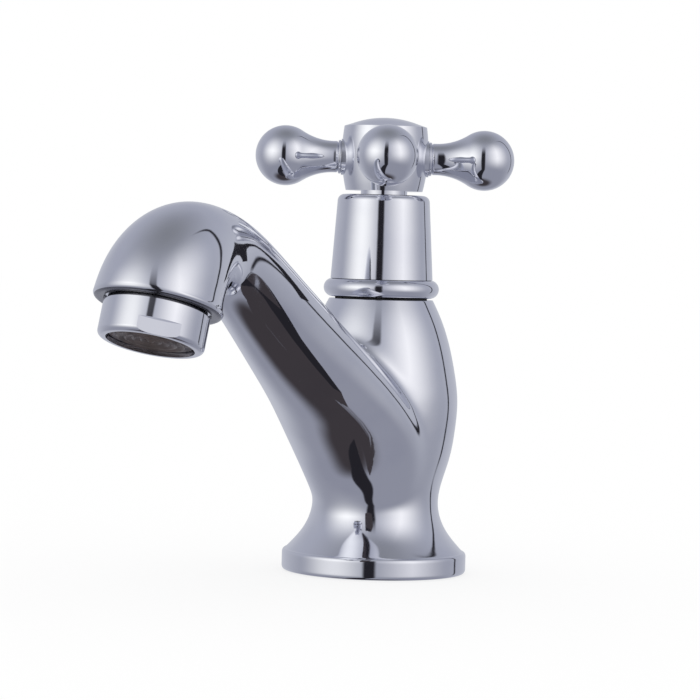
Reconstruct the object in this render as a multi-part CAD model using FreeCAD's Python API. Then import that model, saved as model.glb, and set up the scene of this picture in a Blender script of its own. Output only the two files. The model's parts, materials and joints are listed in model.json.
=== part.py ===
import FreeCAD, Part
import math
import os

# Cross handle basin tap, one piece per file, in millimetres.
# Origin: centre of the base on its underside. +Z is up and the spout reaches along -Y.

V = FreeCAD.Vector
X_AXIS = V(1, 0, 0)
Z_AXIS = V(0, 0, 1)
ORIGIN = V(0, 0, 0)

os.makedirs("parts", exist_ok=True)

# Column, read from the bottom to the top
base_radius = 23.1
base_height = 5.3
base_edge = 0.8
waist_radius = 15.7
waist_height = 16.6
bulb_radius = 20.0
bulb_height = 42.9
neck_radius = 13.0
neck_height = 68.1
blend_radius = 4.0

# Spout, from the column to the mouth
spout_reach = 101.4
mouth_height = 66.7
mouth_radius = 14.7
mouth_lean = 17.6
mouth_edge = 1.1
crest_setback = 18.9
crest_rise = 12.6
crest_radius = 10.6
root_reach = 13.5
root_rise = 20.1
root_half_width = 18.0
root_thickness_above = 12.0
root_thickness_below = 11.0
root_inset = 1.1
# Shares of the root's reach, rise, half width and thickness above and below
root_turn_shares = (
    (0.10, 0.174, 0.833, 1.125, 1.355),
    (0.417, 0.622, 0.956, 1.083, 1.273),
)
# Shares of the way from root to crest in reach and height, then sizes as shares of the crest's radius
trunk_shares = (
    (0.161, 0.207, 1.528, 1.038, 1.0),
    (0.349, 0.4225, 1.278, 1.038, 1.038),
    (0.659, 0.763, 1.0, 0.953, 0.953),
    (0.855, 0.946, 0.925, 0.925, 0.925),
)
# Shares of the setback and rise left from the mouth, and of the growth from crest to mouth
head_shares = (
    (0.50, 0.869, 0.51),
    (0.15, 0.492, 0.81),
    (0.0, 0.0, 1.0),
)
spout_wall = 2.8
section_points = 16

# Waterways inside the casting
inlet_radius = 9.3
inlet_depth = 14.0
riser_radius = 8.5
seat_depth = 21.0
seat_floor = 12.0
seat_bore = 6.0
seat_boss_radius = 8.8
seat_boss_height = 4.0
chamber_radius = 12.0
chamber_depth = 9.0
neck_thread_radius = 10.3
mouth_thread_radius = 12.05
mouth_thread_depth = 6.5
mouth_shelf_radius = 10.4

# Base seal, flush in a groove of the underside
seal_setback = 3.6
seal_width = 5.0
seal_outer_radius = base_radius - seal_setback
seal_inner_radius = seal_outer_radius - seal_width
seal_thickness = 2.0
seal_clearance = 0.1

# Headwork: the valve that screws into the neck
thread_clearance = 0.1
neck_washer_thickness = 1.0
disc_cavity_radius = 7.9
housing_radius = 9.1
housing_gap = 0.3
thread_relief = 1.0
flange_radius = 11.5
flange_thickness = 1.6
hex_flats = 19.0
hex_height = 5.6
gland_neck_radius = 9.2
gland_neck_length = 6.8
window_width = 8.0
window_rise = 8.4
window_height = 4.4

# Ceramic discs and the rubber under them
seat_seal_thickness = 2.5
seat_seal_bore = 5.2
disc_clearance = 0.05
fixed_disc_thickness = 3.5
moving_disc_thickness = 3.0
disc_film = 0.02
port_inner_radius = 1.4
port_outer_radius = 6.0
port_angle = 76.0
drive_slot_width = 3.0
drive_slot_depth = 1.4
drive_clearance = 0.08

# Spindle
driver_height = 3.0
driver_width = 5.0
driver_radius = 7.6
collar_height = 1.2
collar_radius = 7.2
slip_washer_thickness = 0.6
slip_washer_play = 0.05
spindle_radius = 4.9
running_clearance = 0.05
o_ring_section = 0.62
o_ring_groove_depth = 1.3
o_ring_groove_width = 1.7
o_ring_drops = (17.0, 9.0)
clip_thickness = 0.8
clip_radius = 6.0
clip_gap_start = 240.0
clip_gap_angle = 70.0
spline_root_radius = 3.65
spline_tip_radius = 4.0
spline_teeth = 20
spline_clearance = 0.06
spindle_shoulder_rise = 1.4
spline_end_gap = 0.8
clip_groove_depth = 0.8
clip_play = 0.1

# Quarter-turn stop
quarter_turn = 90.0
stop_play = 2.0
stop_tooth_angle = 60.0
stop_lug_inner_radius = 6.3
stop_lug_outer_radius = 8.2
stop_lug_height = 3.2
stop_ring_radius = 6.1
stop_ring_thickness = 2.2
stop_tooth_gap = 0.3

# Shroud that hides the headwork
shroud_gap = 0.4
shroud_bottom_radius = 12.75
shroud_top_radius = 11.4
shroud_height = 25.6
shroud_shoulder = 1.7
shroud_wall = 1.0
shroud_top_web = 2.0
bead_radius = 2.3
bead_reach = 14.4
shroud_collar_height = 3.0
shroud_collar_drop = 2.5
shroud_flange_gap = 0.5
shroud_thinning = 0.2
stem_clearance = 0.6
shroud_collar_gap = 0.05

# Handle
handle_angle = 30.5
handle_gap = 1.0
hub_bottom_radius = 9.6
hub_middle_radius = 10.75
hub_top_radius = 10.3
hub_height = 16.0
hub_rim_height = 0.7
hub_rim_inner_radius = 8.2
hub_web_thickness = 2.4
hub_socket_depth = 2.2
hub_stem_radius = 5.8
hub_stem_gap = 0.7
arm_rise = 8.2
boss_radius = 4.5
boss_reach = 10.9
collar_ring_radius = 4.2
collar_ring_width = 0.8
arm_root_radius = 3.95
arm_waist_radius = 4.35
arm_waist_length = 4.6
arm_ball_radius = 7.5
arm_length = 32.3
arm_join_angle = 124.0
arm_spigot_radius = 2.5
arm_spigot_end = 7.0
arm_names = ("front", "right", "back", "left")
cap_dome_rise = 1.5
cap_plug_radius = 6.2
cap_plug_length = 5.0
cap_wall = 1.2
pocket_radius = 6.3
screw_radius = 2.45
screw_clearance = 0.05
screw_hole_clearance = 0.2
screw_length = 9.5
screw_head_radius = 4.3
screw_head_height = 2.8
screw_key_flats = 3.0
screw_key_depth = 1.8

# Aerator, measured outwards from the mouth along its own axis
aerator_radius = 12.0
aerator_thread_radius = 11.95
aerator_groove_radius = 11.2
aerator_groove_width = 1.4
aerator_length = 8.5
aerator_bore = 10.4
aerator_lip_bore = 10.0
aerator_lip = 1.2
aerator_flats = 22.0
aerator_flat_height = 3.5
aerator_flats_turn = 50.0
aerator_washer_thickness = 1.0
insert_recess = 2.0
insert_wall = 0.8
insert_height = 6.0
insert_ring_count = 4
insert_ring_wall = 0.5
insert_ring_height = 1.6
insert_rib_width = 0.7
insert_play = 0.05
screen_thickness = 0.35
screen_count = 3
screen_gap = 0.45
jet_disc_thickness = 1.2
jet_hole_radius = 0.5
jet_hole_count = 20
jet_circle_radius = 8.2
strainer_height = 3.2
strainer_wall = 0.5
strainer_radius = 9.4


def revolved(points):
    """Solid of revolution about Z of a closed outline given as (radius, height) corners."""
    corners = [V(r, 0, z) for r, z in points]
    outline = Part.makePolygon(corners + [corners[0]])
    return Part.Face(outline).revolve(ORIGIN, Z_AXIS, 360)


def disc(radius, bottom, top):
    return Part.makeCylinder(radius, top - bottom, V(0, 0, bottom))


def ring(inner, outer, bottom, top):
    return disc(outer, bottom, top).cut(disc(inner, bottom - 1, top + 1))


def sector(inner, outer, bottom, top, start, sweep):
    """Part of a ring from the angle start, counted from +X, over sweep degrees."""
    block = Part.makeCylinder(outer, top - bottom, V(0, 0, bottom), Z_AXIS, sweep)
    block = block.cut(disc(inner, bottom - 1, top + 1))
    block.rotate(ORIGIN, Z_AXIS, start)
    return block


def hexagon(flats, bottom, top):
    corner = flats / math.sqrt(3)
    corners = []
    for k in range(7):
        angle = math.radians(60 * k)
        corners.append(V(corner * math.cos(angle), corner * math.sin(angle), bottom))
    return Part.Face(Part.makePolygon(corners)).extrude(V(0, 0, top - bottom))


def spline_prism(root, tip, bottom, top):
    """Toothed prism of the spindle's spline."""
    corners = []
    for k in range(2 * spline_teeth + 1):
        angle = math.pi * k / spline_teeth
        radius = tip if k % 2 == 0 else root
        corners.append(V(radius * math.cos(angle), radius * math.sin(angle), bottom))
    return Part.Face(Part.makePolygon(corners)).extrude(V(0, 0, top - bottom))


def between(low, high, shares):
    """Points between two (radius, height) ends, each at its share of both spans."""
    span_r = high[0] - low[0]
    span_z = high[1] - low[1]
    return [(low[0] + r * span_r, low[1] + z * span_z) for r, z in shares]


def export(name, shape):
    shape.exportStep("parts/" + name + ".step")
    print(name, "solids", len(shape.Solids), "valid", shape.isValid(), "volume", round(shape.Volume, 1))


# ---------------------------------------------------------------- casting

def column_solid():
    """Round base with a flared foot, a waist and a bulb that narrows to the neck."""
    foot = (base_radius - base_edge, base_height)
    waist = (waist_radius, waist_height)
    bulb = (bulb_radius, bulb_height)
    neck = (neck_radius, neck_height)
    flare = between(waist, foot, ((0.765, 0.858), (0.379, 0.593), (0.136, 0.327)))
    swell = between(waist, bulb, ((0.140, 0.202), (0.570, 0.430), (0.919, 0.772)))
    shoulder = between(bulb, neck, ((0.143, 0.298), (0.457, 0.655)))
    side = [foot] + flare + [waist] + swell + [bulb] + shoulder + [neck]
    curve = Part.BSplineCurve()
    curve.interpolate([V(r, 0, z) for r, z in side])
    inset = base_edge * (1 - math.sqrt(0.5))
    foot_r, foot_z = foot
    edges = [
        Part.LineSegment(ORIGIN, V(foot_r, 0, 0)).toShape(),
        Part.Arc(V(foot_r, 0, 0), V(base_radius - inset, 0, inset), V(base_radius, 0, base_edge)).toShape(),
        Part.LineSegment(V(base_radius, 0, base_edge), V(base_radius, 0, foot_z - base_edge)).toShape(),
        Part.Arc(
            V(base_radius, 0, foot_z - base_edge),
            V(base_radius - inset, 0, foot_z - inset),
            V(foot_r, 0, foot_z),
        ).toShape(),
        curve.toShape(),
        Part.LineSegment(V(neck_radius, 0, neck_height), V(0, 0, neck_height)).toShape(),
        Part.LineSegment(V(0, 0, neck_height), ORIGIN).toShape(),
    ]
    return Part.Face(Part.Wire(edges)).revolve(ORIGIN, Z_AXIS, 360)


def spout_stations():
    """Sections along the spout: reach, height, half width, thickness above and below its middle line."""
    root = (root_reach, waist_height + root_rise)
    crest = (spout_reach - crest_setback, mouth_height + crest_rise)
    inner = waist_radius - root_inset
    stations = [(0.0, waist_height - 0.27 * root_rise, inner, inner, inner)]
    for out, up, width, above, below in root_turn_shares:
        reach = out * root_reach
        height = waist_height + up * root_rise
        sizes = (width * root_half_width, above * root_thickness_above, below * root_thickness_below)
        stations.append((reach, height) + sizes)
    stations.append(root + (root_half_width, root_thickness_above, root_thickness_below))
    places = between(root, crest, [row[:2] for row in trunk_shares])
    for place, row in zip(places, trunk_shares):
        stations.append(place + tuple(share * crest_radius for share in row[2:]))
    stations.append(crest + (crest_radius,) * 3)
    for back, rise, share in head_shares:
        radius = crest_radius + share * (mouth_radius - crest_radius)
        reach = spout_reach - back * crest_setback
        stations.append((reach, mouth_height + rise * crest_rise, radius, radius, radius))
    return stations


def mouth_direction():
    lean = math.radians(mouth_lean)
    return V(0, -math.sin(lean), -math.cos(lean))


def spout_sections(inset):
    """Closed curves across the spout, smaller than the outside by inset, with their centres."""
    stations = spout_stations()
    centres = [V(0, -s[0], s[1]) for s in stations]
    lengths = [0.0]
    for a, b in zip(centres, centres[1:]):
        lengths.append(lengths[-1] + (b - a).Length)
    spine = Part.BSplineCurve()
    spine.interpolate(
        Points=centres,
        Parameters=lengths,
        InitialTangent=Z_AXIS,
        FinalTangent=mouth_direction(),
        Scale=False,
    )
    sections = []
    for station, centre, length in zip(stations, centres, lengths):
        along = spine.tangent(length)[0]
        up = V(0, along.z, -along.y)
        half_width, above, below = [size - inset for size in station[2:]]
        points = []
        for k in range(section_points):
            angle = 2 * math.pi * k / section_points
            height = math.sin(angle) * (above if angle <= math.pi else below)
            points.append(centre + X_AXIS * (half_width * math.cos(angle)) + up * height)
        curve = Part.BSplineCurve()
        curve.interpolate(Points=points, PeriodicFlag=True)
        sections.append(Part.Wire([curve.toShape()]))
    return sections


def placed_at_mouth(shape):
    """Turns a shape built about Z from the mouth's plane, outwards up, into its place."""
    placed = shape.copy()
    placed.rotate(ORIGIN, X_AXIS, 180 - mouth_lean)
    placed.translate(V(0, -spout_reach, mouth_height))
    return placed


def spout_core():
    """Hollow of the spout, from the valve chamber into the bottom of the mouth's thread."""
    sections = spout_sections(spout_wall)[3:-2]
    shelf = Part.Wire([Part.makeCircle(mouth_shelf_radius)])
    shelf.translate(V(0, 0, 1 - mouth_thread_depth))
    sections.append(placed_at_mouth(shelf))
    return Part.makeLoft(sections, True, False)


def crease_edges(body):
    """The seam where the spout leaves the column."""
    found = []
    for edge in body.Edges:
        box = edge.BoundBox
        inside = box.ZMin > base_height and box.ZMax < neck_height
        if inside and box.YMin > -bulb_radius and box.XLength > bulb_radius:
            found.append(edge)
    return found


def rounded_mouth(body):
    rims = []
    for edge in body.Edges:
        box = edge.BoundBox
        if box.YMax < -(spout_reach - mouth_radius) + 0.5 and box.XLength > 2 * mouth_radius - 0.5:
            rims.append(edge)
    return body.makeFillet(mouth_edge, rims)


def body_casting():
    body = column_solid().fuse(Part.makeLoft(spout_sections(0.0), True, False))
    body = body.makeFillet(blend_radius, crease_edges(body))
    body = rounded_mouth(body)
    body = body.cut(disc(inlet_radius, -1, inlet_depth))
    seat_height = neck_height - seat_depth
    riser_top = seat_height - seat_floor
    chamber_top = neck_height - chamber_depth
    body = body.cut(disc(riser_radius, inlet_depth - 1, riser_top))
    body = body.cut(disc(seat_bore, riser_top - 1, seat_height + 1))
    body = body.cut(ring(seal_inner_radius, seal_outer_radius, -1, seal_thickness))
    chamber_bottom = seat_height - seat_boss_height
    chamber = disc(chamber_radius, chamber_bottom, chamber_top)
    chamber = chamber.fuse(disc(neck_thread_radius, chamber_top - 1, neck_height + 1))
    chamber = chamber.fuse(spout_core())
    seat_boss = disc(seat_boss_radius, chamber_bottom - 1, seat_height)
    chamber = chamber.cut(seat_boss)
    body = body.cut(chamber)
    thread = placed_at_mouth(disc(mouth_thread_radius, -mouth_thread_depth, 1))
    return body.cut(thread)


def base_seal():
    return ring(
        seal_inner_radius + seal_clearance,
        seal_outer_radius - seal_clearance,
        0,
        seal_thickness,
    )


# ---------------------------------------------------------------- headwork

seat_height = neck_height - seat_depth
neck_washer_top = neck_height + neck_washer_thickness
flange_top = neck_washer_top + flange_thickness
hex_top = flange_top + hex_height
gland_top = hex_top + gland_neck_length
shroud_bottom = neck_height + shroud_gap
shroud_top = shroud_bottom + shroud_height
fixed_disc_bottom = seat_height + seat_seal_thickness
fixed_disc_top = fixed_disc_bottom + fixed_disc_thickness
moving_disc_bottom = fixed_disc_top + disc_film
moving_disc_top = moving_disc_bottom + moving_disc_thickness
driver_top = moving_disc_top + driver_height
spindle_collar_top = driver_top + collar_height
slip_washer_bottom = spindle_collar_top + slip_washer_play
disc_cavity_top = slip_washer_bottom + slip_washer_thickness
spindle_bore = spindle_radius + running_clearance
o_ring_heights = [gland_top - drop for drop in o_ring_drops]
clip_bottom = gland_top + clip_play
clip_top = clip_bottom + clip_thickness
clip_groove_radius = spindle_radius - clip_groove_depth
spindle_shoulder = gland_top + spindle_shoulder_rise
stop_ring_top = spindle_shoulder + stop_ring_thickness
handle_bottom = shroud_top + handle_gap
hub_stem_bottom = stop_ring_top + hub_stem_gap
arm_height = handle_bottom + arm_rise
spindle_top = handle_bottom + hub_socket_depth - spline_end_gap


def neck_washer():
    return ring(neck_thread_radius, flange_radius, neck_height, neck_washer_top)


def stop_lug_angles():
    """Start and sweep of the fixed lug: the stop tooth starts at angle 0 and moves a quarter turn."""
    free = stop_tooth_angle + quarter_turn + 2 * stop_play
    start = stop_tooth_angle + quarter_turn + stop_play
    return start, 360 - free


def headwork_body():
    """Brass body: disc housing, neck thread, flange, hexagon and gland, with the stop lug on top."""
    thread_start = neck_height - chamber_depth + thread_relief
    body = disc(housing_radius, seat_height + housing_gap, thread_start)
    body = body.fuse(disc(neck_thread_radius - thread_clearance, thread_start, neck_washer_top))
    body = body.fuse(disc(flange_radius, neck_washer_top, flange_top))
    body = body.fuse(hexagon(hex_flats, flange_top, hex_top))
    body = body.fuse(disc(gland_neck_radius, hex_top, gland_top))
    start, sweep = stop_lug_angles()
    lug_top = gland_top + stop_lug_height
    lug = sector(stop_lug_inner_radius, stop_lug_outer_radius, gland_top - 0.5, lug_top, start, sweep)
    body = body.fuse(lug)
    body = body.cut(disc(disc_cavity_radius, seat_height - 1, disc_cavity_top))
    body = body.cut(disc(spindle_bore, disc_cavity_top - 1, gland_top + 1))
    window = Part.makeBox(4 * housing_radius, window_width, window_height)
    window.translate(V(-2 * housing_radius, -window_width / 2, seat_height + window_rise))
    return body.cut(window).removeSplitter()


def seat_seal():
    return ring(seat_seal_bore, disc_cavity_radius - disc_clearance, seat_height, fixed_disc_bottom)


def disc_with_ports(bottom, top, first_angle):
    plate = disc(disc_cavity_radius - 2 * disc_clearance, bottom, top)
    for side in (0, 180):
        start = first_angle + side - port_angle / 2
        plate = plate.cut(sector(port_inner_radius, port_outer_radius, bottom - 1, top + 1, start, port_angle))
    return plate


def fixed_disc():
    return disc_with_ports(fixed_disc_bottom, fixed_disc_top, 0)


def drive_bar(width, bottom, top, reach):
    bar = Part.makeBox(2 * reach, width, top - bottom)
    bar.translate(V(-reach, -width / 2, bottom))
    return bar


def moving_disc():
    """Turned a quarter from the fixed disc, so the valve is shut at rest."""
    plate = disc_with_ports(moving_disc_bottom, moving_disc_top, quarter_turn)
    slot_bottom = moving_disc_top - drive_slot_depth
    return plate.cut(drive_bar(drive_slot_width, slot_bottom, moving_disc_top + 1, 2 * driver_radius))


def spindle():
    key_bottom = moving_disc_top - drive_slot_depth + drive_clearance
    key_width = drive_slot_width - 2 * drive_clearance
    driver = drive_bar(driver_width, moving_disc_top, driver_top, 2 * driver_radius)
    driver = driver.fuse(drive_bar(key_width, key_bottom, moving_disc_top + 1, 2 * driver_radius))
    driver = driver.common(disc(driver_radius, key_bottom - 1, driver_top))
    shaft = driver.fuse(disc(collar_radius, driver_top, spindle_collar_top))
    shaft = shaft.fuse(disc(spindle_radius, spindle_collar_top, spindle_shoulder))
    shaft = shaft.fuse(spline_prism(spline_root_radius, spline_tip_radius, spindle_shoulder, spindle_top))
    for height in o_ring_heights:
        bottom = height - o_ring_groove_width / 2
        groove = ring(
            spindle_radius - o_ring_groove_depth,
            spindle_radius + 1,
            bottom,
            bottom + o_ring_groove_width,
        )
        shaft = shaft.cut(groove)
    shaft = shaft.cut(ring(clip_groove_radius, spindle_radius + 1, clip_bottom, clip_top))
    hole = disc(screw_radius + screw_clearance, handle_bottom + hub_socket_depth - screw_length, spindle_top + 1)
    return shaft.cut(hole)


def spindle_o_rings():
    rings = []
    middle = spindle_radius - o_ring_groove_depth + o_ring_section
    for height in o_ring_heights:
        rings.append(Part.makeTorus(middle, o_ring_section, V(0, 0, height)))
    return Part.makeCompound(rings)


def slip_washer():
    return ring(spindle_bore, disc_cavity_radius - disc_clearance, slip_washer_bottom, disc_cavity_top)


def retaining_clip():
    clip = ring(clip_groove_radius, clip_radius, clip_bottom, clip_top)
    return clip.cut(sector(0, clip_radius + 1, clip_bottom - 1, clip_top + 1, clip_gap_start, clip_gap_angle))


def stop_ring():
    """Rides on the spline and carries the tooth that meets the fixed lug at each end of the turn."""
    bottom = spindle_shoulder
    top = stop_ring_top
    body = disc(stop_ring_radius, bottom, top)
    tooth_bottom = gland_top + stop_tooth_gap
    tooth = sector(stop_ring_radius - 0.5, stop_lug_outer_radius, bottom, top, 0, stop_tooth_angle)
    finger = sector(stop_lug_inner_radius, stop_lug_outer_radius, tooth_bottom, top, 0, stop_tooth_angle)
    body = body.fuse(tooth).fuse(finger)
    hole = spline_prism(
        spline_root_radius + spline_clearance,
        spline_tip_radius + spline_clearance,
        bottom - 1,
        top + 1,
    )
    return body.cut(hole)


# ---------------------------------------------------------------- shroud

def shroud():
    """Bell with a half-round bead at its foot, a threaded collar inside and a flat top with a hole."""
    bottom = shroud_bottom
    bead_middle = bottom + bead_radius
    inner_bottom = flange_radius + shroud_flange_gap
    inner_top = shroud_top_radius - shroud_wall - shroud_thinning
    outline = [
        (0, bottom),
        (bead_reach - bead_radius, bottom),
        (bead_reach - bead_radius, bottom + 2 * bead_radius),
        (shroud_bottom_radius, bottom + 2 * bead_radius),
        (shroud_top_radius, shroud_top),
        (0, shroud_top),
    ]
    bell = revolved(outline)
    bead = Part.makeTorus(bead_reach - bead_radius, bead_radius, V(0, 0, bead_middle))
    shoulder_edges = [e for e in bell.Edges if e.BoundBox.ZMin > shroud_top - 0.1 and e.BoundBox.XLength > 2]
    bell = bell.makeFillet(shroud_shoulder, shoulder_edges)
    bell = bell.fuse(bead)
    web_bottom = shroud_top - shroud_top_web
    hollow = revolved([(0, bottom - 1), (inner_bottom, bottom - 1), (inner_top, web_bottom), (0, web_bottom)])
    collar_bottom = gland_top - shroud_collar_drop - shroud_collar_height
    collar = disc(shroud_bottom_radius, collar_bottom, collar_bottom + shroud_collar_height)
    hollow = hollow.cut(collar)
    bell = bell.cut(hollow)
    bell = bell.cut(disc(gland_neck_radius + shroud_collar_gap, bottom, web_bottom))
    return bell.cut(disc(hub_stem_radius + stem_clearance, web_bottom - 1, shroud_top + 1))


# ---------------------------------------------------------------- handle

def turned_to_arm(shape, index):
    """Turns a shape built along -Y, in place at the arms' height, to the arm of that index."""
    placed = shape.copy()
    placed.rotate(ORIGIN, Z_AXIS, handle_angle + 90 * index)
    return placed


def along_arm(shape):
    """Lays a shape built about Z down along -Y at the arms' height."""
    placed = shape.copy()
    placed.rotate(ORIGIN, X_AXIS, 90)
    placed.translate(V(0, 0, arm_height))
    return placed


def handle_hub():
    bottom = handle_bottom
    top = bottom + hub_height
    side = Part.Arc(
        V(hub_bottom_radius, 0, bottom),
        V(hub_middle_radius, 0, arm_height),
        V(hub_top_radius, 0, top),
    )
    edges = [
        Part.LineSegment(V(0, 0, bottom), V(hub_bottom_radius, 0, bottom)).toShape(),
        side.toShape(),
        Part.LineSegment(V(hub_top_radius, 0, top), V(hub_rim_inner_radius, 0, top + hub_rim_height)).toShape(),
        Part.LineSegment(V(hub_rim_inner_radius, 0, top + hub_rim_height), V(0, 0, top + hub_rim_height)).toShape(),
        Part.LineSegment(V(0, 0, top + hub_rim_height), V(0, 0, bottom)).toShape(),
    ]
    hub = Part.Face(Part.Wire(edges)).revolve(ORIGIN, Z_AXIS, 360)
    for index in range(4):
        boss = along_arm(disc(boss_radius, hub_bottom_radius / 2, boss_reach))
        hub = hub.fuse(turned_to_arm(boss, index))
    hub = hub.fuse(disc(hub_stem_radius, hub_stem_bottom, bottom + 1))
    web_bottom = bottom + hub_socket_depth
    web_top = web_bottom + hub_web_thickness
    socket = spline_prism(
        spline_root_radius + spline_clearance,
        spline_tip_radius + spline_clearance,
        hub_stem_bottom - 1,
        web_bottom,
    )
    hub = hub.cut(socket)
    hub = hub.cut(disc(screw_radius + screw_hole_clearance, web_bottom - 1, web_top + 1))
    hub = hub.cut(disc(pocket_radius, web_top, top + 2))
    seat = disc(hub_rim_inner_radius, top, top + 2)
    hub = hub.cut(seat)
    for index in range(4):
        hole = along_arm(disc(arm_spigot_radius, 0, boss_reach + 1))
        hub = hub.cut(turned_to_arm(hole, index))
    return hub.removeSplitter()


def handle_cap():
    """Shallow dome with a plug that snaps into the hub's pocket."""
    bottom = handle_bottom + hub_height
    dome_foot = bottom + hub_rim_height
    dome_top = dome_foot + cap_dome_rise
    radius = hub_rim_inner_radius
    sphere_radius = (radius ** 2 + cap_dome_rise ** 2) / (2 * cap_dome_rise)
    ball = Part.makeSphere(sphere_radius, V(0, 0, dome_top - sphere_radius))
    cap = disc(radius, bottom, dome_top + 1).common(ball)
    plug = ring(cap_plug_radius - cap_wall, cap_plug_radius, bottom - cap_plug_length, bottom)
    return cap.fuse(plug)


def handle_screw():
    head_bottom = handle_bottom + hub_socket_depth + hub_web_thickness
    head_top = head_bottom + screw_head_height
    screw = disc(screw_head_radius, head_bottom, head_top)
    screw = screw.fuse(disc(screw_radius, head_bottom - screw_length, head_bottom))
    return screw.cut(hexagon(screw_key_flats, head_top - screw_key_depth, head_top + 1))


def handle_arm():
    """Drop-shaped arm with a ball end and the spigot that screws into the hub."""
    start = boss_reach + collar_ring_width
    centre = arm_length - arm_ball_radius
    join = math.radians(arm_join_angle)
    join_point = V(arm_ball_radius * math.sin(join), 0, centre + arm_ball_radius * math.cos(join))
    edges = [
        Part.LineSegment(V(0, 0, start), V(arm_root_radius, 0, start)).toShape(),
        Part.Arc(
            V(arm_root_radius, 0, start),
            V(arm_waist_radius, 0, start + arm_waist_length),
            join_point,
        ).toShape(),
        Part.Arc(join_point, V(arm_ball_radius, 0, centre), V(0, 0, arm_length)).toShape(),
        Part.LineSegment(V(0, 0, arm_length), V(0, 0, start)).toShape(),
    ]
    arm = Part.Face(Part.Wire(edges)).revolve(ORIGIN, Z_AXIS, 360)
    return arm.fuse(disc(arm_spigot_radius, arm_spigot_end, start + 1))


def arm_collar():
    return ring(arm_spigot_radius, collar_ring_radius, boss_reach, boss_reach + collar_ring_width)


# ---------------------------------------------------------------- aerator

thread_end = -(mouth_thread_depth - aerator_washer_thickness)
insert_outer = aerator_bore - insert_play
insert_bottom = aerator_length - insert_recess
insert_top = insert_bottom - insert_height


def aerator_housing():
    """Threaded sleeve with a relief groove at the mouth, two spanner flats and an inward lip."""
    groove_start = -aerator_groove_width / 2
    sleeve = disc(aerator_thread_radius, thread_end, groove_start)
    sleeve = sleeve.fuse(disc(aerator_groove_radius, groove_start, groove_start + aerator_groove_width))
    barrel = disc(aerator_radius, groove_start + aerator_groove_width, aerator_length)
    end_edges = [e for e in barrel.Edges if e.BoundBox.ZMin > aerator_length - 0.1]
    barrel = barrel.makeFillet(aerator_lip, end_edges)
    sleeve = sleeve.fuse(barrel)
    sleeve = sleeve.cut(disc(aerator_bore, thread_end - 1, insert_bottom))
    sleeve = sleeve.cut(disc(aerator_lip_bore, insert_bottom - 1, aerator_length + 1))
    for side in (-1, 1):
        cutter = Part.makeBox(aerator_radius, 4 * aerator_radius, aerator_flat_height + 1)
        low = side * aerator_flats / 2
        left = min(low, low + side * aerator_radius)
        cutter.translate(V(left, -2 * aerator_radius, aerator_length - aerator_flat_height))
        cutter.rotate(ORIGIN, Z_AXIS, aerator_flats_turn)
        sleeve = sleeve.cut(cutter)
    return sleeve


def aerator_washer():
    return ring(mouth_shelf_radius, aerator_thread_radius, -mouth_thread_depth, thread_end)


def aerator_insert():
    """Plastic cage whose outlet shows thin concentric rings on a cross of ribs."""
    rim = ring(insert_outer - insert_wall, insert_outer, insert_top, insert_bottom)
    ring_bottom = insert_bottom - insert_ring_height
    pitch = (insert_outer - insert_wall) / (insert_ring_count + 0.5)
    cage = rim
    for k in range(insert_ring_count):
        middle = pitch * (k + 0.75)
        loop = ring(middle - insert_ring_wall / 2, middle + insert_ring_wall / 2, ring_bottom, insert_bottom)
        cage = cage.fuse(loop)
    for k in range(3):
        rib = Part.makeBox(2 * insert_outer - insert_wall, insert_rib_width, insert_ring_height / 2)
        rib.translate(V(-insert_outer + insert_wall / 2, -insert_rib_width / 2, ring_bottom))
        rib.rotate(ORIGIN, Z_AXIS, 60 * k)
        cage = cage.fuse(rib)
    return cage


def aerator_screens():
    """Wire screens stacked in the cage, each a thin plate here."""
    plates = []
    for k in range(screen_count):
        top = insert_bottom - insert_ring_height - k * (screen_thickness + screen_gap)
        radius = insert_outer - insert_wall
        plates.append(disc(radius, top - screen_thickness, top))
    return Part.makeCompound(plates)


def jet_disc():
    """Disc that splits the water into jets, on the top of the cage."""
    bottom = insert_top
    plate = disc(insert_outer, bottom - jet_disc_thickness, bottom)
    for k in range(jet_hole_count):
        angle = 2 * math.pi * k / jet_hole_count
        hole = disc(jet_hole_radius, bottom - jet_disc_thickness - 1, bottom + 1)
        hole.translate(V(jet_circle_radius * math.cos(angle), jet_circle_radius * math.sin(angle), 0))
        plate = plate.cut(hole)
    return plate


def strainer():
    """Domed strainer that keeps grit out of the jet disc."""
    foot = insert_top - jet_disc_thickness
    sphere_radius = (strainer_radius ** 2 + strainer_height ** 2) / (2 * strainer_height)
    centre = V(0, 0, foot - strainer_height + sphere_radius)
    dome = Part.makeSphere(sphere_radius, centre).common(disc(strainer_radius, foot - strainer_height - 1, foot))
    inner = Part.makeSphere(sphere_radius - strainer_wall, centre)
    return dome.cut(inner)


# ---------------------------------------------------------------- all pieces

export("body_casting", body_casting())
export("base_seal", base_seal())
export("neck_washer", neck_washer())
export("headwork_body", headwork_body())
export("seat_seal", seat_seal())
export("fixed_ceramic_disc", fixed_disc())
export("moving_ceramic_disc", moving_disc())
export("spindle", spindle())
export("spindle_o_rings", spindle_o_rings())
export("slip_washer", slip_washer())
export("retaining_clip", retaining_clip())
export("stop_ring", stop_ring())
export("shroud", shroud())
export("handle_hub", handle_hub())
export("handle_cap", handle_cap())
export("handle_screw", handle_screw())
for arm_index, arm_name in enumerate(arm_names):
    export("handle_arm_" + arm_name, turned_to_arm(along_arm(handle_arm()), arm_index))
    export("arm_collar_" + arm_name, turned_to_arm(along_arm(arm_collar()), arm_index))
export("aerator_housing", placed_at_mouth(aerator_housing()))
export("aerator_washer", placed_at_mouth(aerator_washer()))
export("aerator_insert", placed_at_mouth(aerator_insert()))
export("aerator_screens", placed_at_mouth(aerator_screens()))
export("aerator_jet_disc", placed_at_mouth(jet_disc()))
export("aerator_strainer", placed_at_mouth(strainer()))
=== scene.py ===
import json
import math

import bmesh
import bpy
from mathutils import Matrix, Quaternion, Vector
from mathutils.bvhtree import BVHTree


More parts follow.
